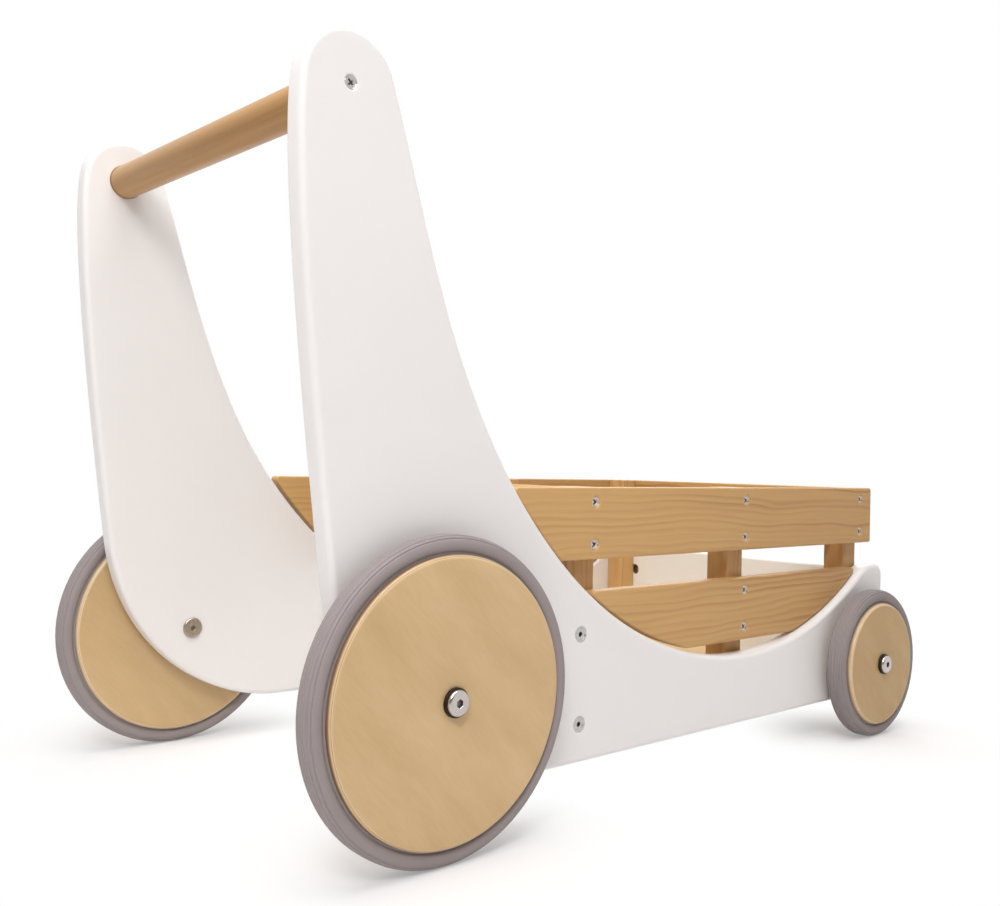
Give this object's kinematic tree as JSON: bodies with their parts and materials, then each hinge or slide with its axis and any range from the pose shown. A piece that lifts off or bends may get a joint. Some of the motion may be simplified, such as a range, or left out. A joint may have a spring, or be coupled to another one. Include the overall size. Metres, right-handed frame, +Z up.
{
  "type": "baby push walker",
  "caption": "Wooden push walker: arched white side panels joined by a round handle bar, a slatted crate between them, and plywood wheels with grey rubber tyres that roll freely.",
  "frame": {"origin": "on the ground, under the middle of the overall box", "axes": "+X the way the walker is pushed, +Y its left-hand side, +Z up"},
  "size_m": [0.609, 0.3564, 0.4423],
  "materials": {
    "white_lacquer": "white satin lacquer over board",
    "pine": "clear lacquered pine",
    "beech": "clear lacquered turned wood",
    "birch_plywood": "clear lacquered birch plywood",
    "grey_rubber": "matt grey rubber",
    "bright_steel": "bright zinc plated steel",
    "black_nylon": "black nylon"
  },
  "bodies": {
    "chassis": {"side_panel_left": "white_lacquer", "side_panel_right": "white_lacquer", "handle_bar": "beech", "handle_screw_left": "bright_steel", "handle_screw_right": "bright_steel", "spacer_rear_left": "black_nylon", "axle_bolt_rear_left": "bright_steel", "axle_nut_rear_left": "bright_steel", "spacer_rear_right": "black_nylon", "axle_bolt_rear_right": "bright_steel", "axle_nut_rear_right": "bright_steel", "spacer_front_left": "black_nylon", "axle_bolt_front_left": "bright_steel", "axle_nut_front_left": "bright_steel", "spacer_front_right": "black_nylon", "axle_bolt_front_right": "bright_steel", "axle_nut_front_right": "bright_steel", "upper_slat_left": "pine", "upper_slat_right": "pine", "lower_slat_left": "pine", "lower_slat_right": "pine", "post_rear_left": "pine", "post_rear_right": "pine", "post_middle_left": "pine", "post_middle_right": "pine", "post_front_left": "pine", "post_front_right": "pine", "rear_board": "white_lacquer", "rear_slat": "pine", "front_board": "white_lacquer", "front_slat": "pine", "floor_board": "birch_plywood", "board_bolt_rear_left_upper": "bright_steel", "dowel_nut_rear_left_upper": "bright_steel", "board_bolt_rear_left_lower": "bright_steel", "dowel_nut_rear_left_lower": "bright_steel", "board_bolt_rear_right_upper": "bright_steel", "dowel_nut_rear_right_upper": "bright_steel", "board_bolt_rear_right_lower": "bright_steel", "dowel_nut_rear_right_lower": "bright_steel", "board_bolt_front_left_upper": "bright_steel", "dowel_nut_front_left_upper": "bright_steel", "board_bolt_front_left_lower": "bright_steel", "dowel_nut_front_left_lower": "bright_steel", "board_bolt_front_right_upper": "bright_steel", "dowel_nut_front_right_upper": "bright_steel", "board_bolt_front_right_lower": "bright_steel", "dowel_nut_front_right_lower": "bright_steel"},
    "wheel_rear_left": {"wheel_disc_rear_left": "birch_plywood", "tyre_rear_left": "grey_rubber", "hub_bush_rear_left": "black_nylon"},
    "wheel_rear_right": {"wheel_disc_rear_right": "birch_plywood", "tyre_rear_right": "grey_rubber", "hub_bush_rear_right": "black_nylon"},
    "wheel_front_left": {"wheel_disc_front_left": "birch_plywood", "tyre_front_left": "grey_rubber", "hub_bush_front_left": "black_nylon"},
    "wheel_front_right": {"wheel_disc_front_right": "birch_plywood", "tyre_front_right": "grey_rubber", "hub_bush_front_right": "black_nylon"}
  },
  "joints": [
    {"name": "wheel_rear_left_spin", "type": "hinge", "parent": "chassis", "child": "wheel_rear_left", "pos_m": [-0.215, 0.1536, 0.0895], "axis": [0, 1, 0], "continuous": true},
    {"name": "wheel_rear_right_spin", "type": "hinge", "parent": "chassis", "child": "wheel_rear_right", "pos_m": [-0.215, -0.1536, 0.0895], "axis": [0, 1, 0], "continuous": true},
    {"name": "wheel_front_left_spin", "type": "hinge", "parent": "chassis", "child": "wheel_front_left", "pos_m": [0.2445, 0.1536, 0.06], "axis": [0, 1, 0], "continuous": true},
    {"name": "wheel_front_right_spin", "type": "hinge", "parent": "chassis", "child": "wheel_front_right", "pos_m": [0.2445, -0.1536, 0.06], "axis": [0, 1, 0], "continuous": true}
  ]
}
